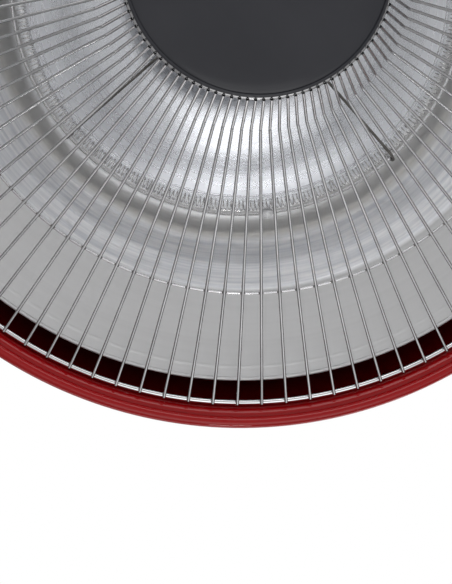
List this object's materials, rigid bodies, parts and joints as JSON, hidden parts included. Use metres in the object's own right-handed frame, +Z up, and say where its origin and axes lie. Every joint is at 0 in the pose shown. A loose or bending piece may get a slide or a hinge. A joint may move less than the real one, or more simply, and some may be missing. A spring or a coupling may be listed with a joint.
{
  "type": "hanging halogen patio heater",
  "caption": "Round hanging patio heater: red dome, spun reflector, halogen ring lamp, wire guard with grey cap, vented top cap and hanging eye.",
  "frame": {"origin": "centre of the hanging eye's hole, where the heater is hung from", "axes": "+Z up along the heater's axis, +X along the hole of the hanging eye, -Y the front with the switch; the mouth looks down"},
  "size_m": [0.422, 0.422, 0.2584],
  "materials": {
    "red_paint": "gloss",
    "black_plastic": "fine texture",
    "red_plastic": "gloss",
    "lens_plastic": "gloss",
    "rubber": "matte",
    "spun_aluminium": "brushed and satin",
    "quartz": "clear",
    "tungsten": "dull",
    "ceramic": "matte",
    "chromed_wire": "polished",
    "guard_wire": "bright",
    "dark_steel": "oxidised",
    "grey_enamel": "satin",
    "zinc_steel": "zinc plated",
    "brass": "plain",
    "nylon": "satin",
    "wire_sleeve": "silicone",
    "glass_sleeve": "woven glass sleeve"
  },
  "bodies": {
    "eye": {"hanging_eye": "zinc_steel"},
    "heater": {"dome_shell": "red_paint", "clamp_brackets": "dark_steel", "reflector": "spun_aluminium", "heat_shield": "zinc_steel", "lower_spacers": "zinc_steel", "upper_spacers": "zinc_steel", "tie_bolts": "zinc_steel", "tie_nuts": "zinc_steel", "lamp_tube": "quartz", "lamp_filament": "tungsten", "lamp_end_caps": "ceramic", "lamp_bushings": "ceramic", "lamp_hooks": "dark_steel", "hook_plate": "zinc_steel", "hook_plate_screw": "zinc_steel", "hook_plate_nut": "zinc_steel", "lamp_leads": "glass_sleeve", "lead_grommet": "rubber", "guard_outer_ring": "chromed_wire", "guard_wires": "guard_wire", "guard_middle_ring": "guard_wire", "guard_hub_ring": "chromed_wire", "guard_cap": "grey_enamel", "guard_cap_plate": "zinc_steel", "guard_cap_screws": "zinc_steel", "guard_clamps": "zinc_steel", "guard_clamp_screws": "zinc_steel", "top_cap": "black_plastic", "top_cap_gasket": "rubber", "top_cap_screws": "zinc_steel", "switch_body": "black_plastic", "pilot_lamp": "lens_plastic", "terminal_block": "nylon", "terminal_screws": "brass", "thermal_cutout": "black_plastic", "cutout_screws": "zinc_steel", "earth_screw": "brass", "gland_body": "black_plastic", "gland_seal": "rubber", "gland_nut": "black_plastic", "inner_wires": "wire_sleeve", "hanging_rod": "zinc_steel", "rod_nuts": "zinc_steel", "rod_washers": "zinc_steel", "clevis": "zinc_steel", "clevis_pin": "zinc_steel", "split_pin": "zinc_steel"},
    "rocker": {"switch_rocker": "red_plastic"}
  },
  "joints": [
    {"name": "heater_swing", "type": "hinge", "parent": "eye", "child": "heater", "pos_m": [0, 0, -0.027], "axis": [1, 0, 0], "range_deg": [-70, 70]},
    {"name": "switch_rock", "type": "hinge", "parent": "heater", "child": "rocker", "pos_m": [0, -0.0615, -0.0701], "axis": [1, 0, 0], "range_deg": [-14, 0]}
  ]
}
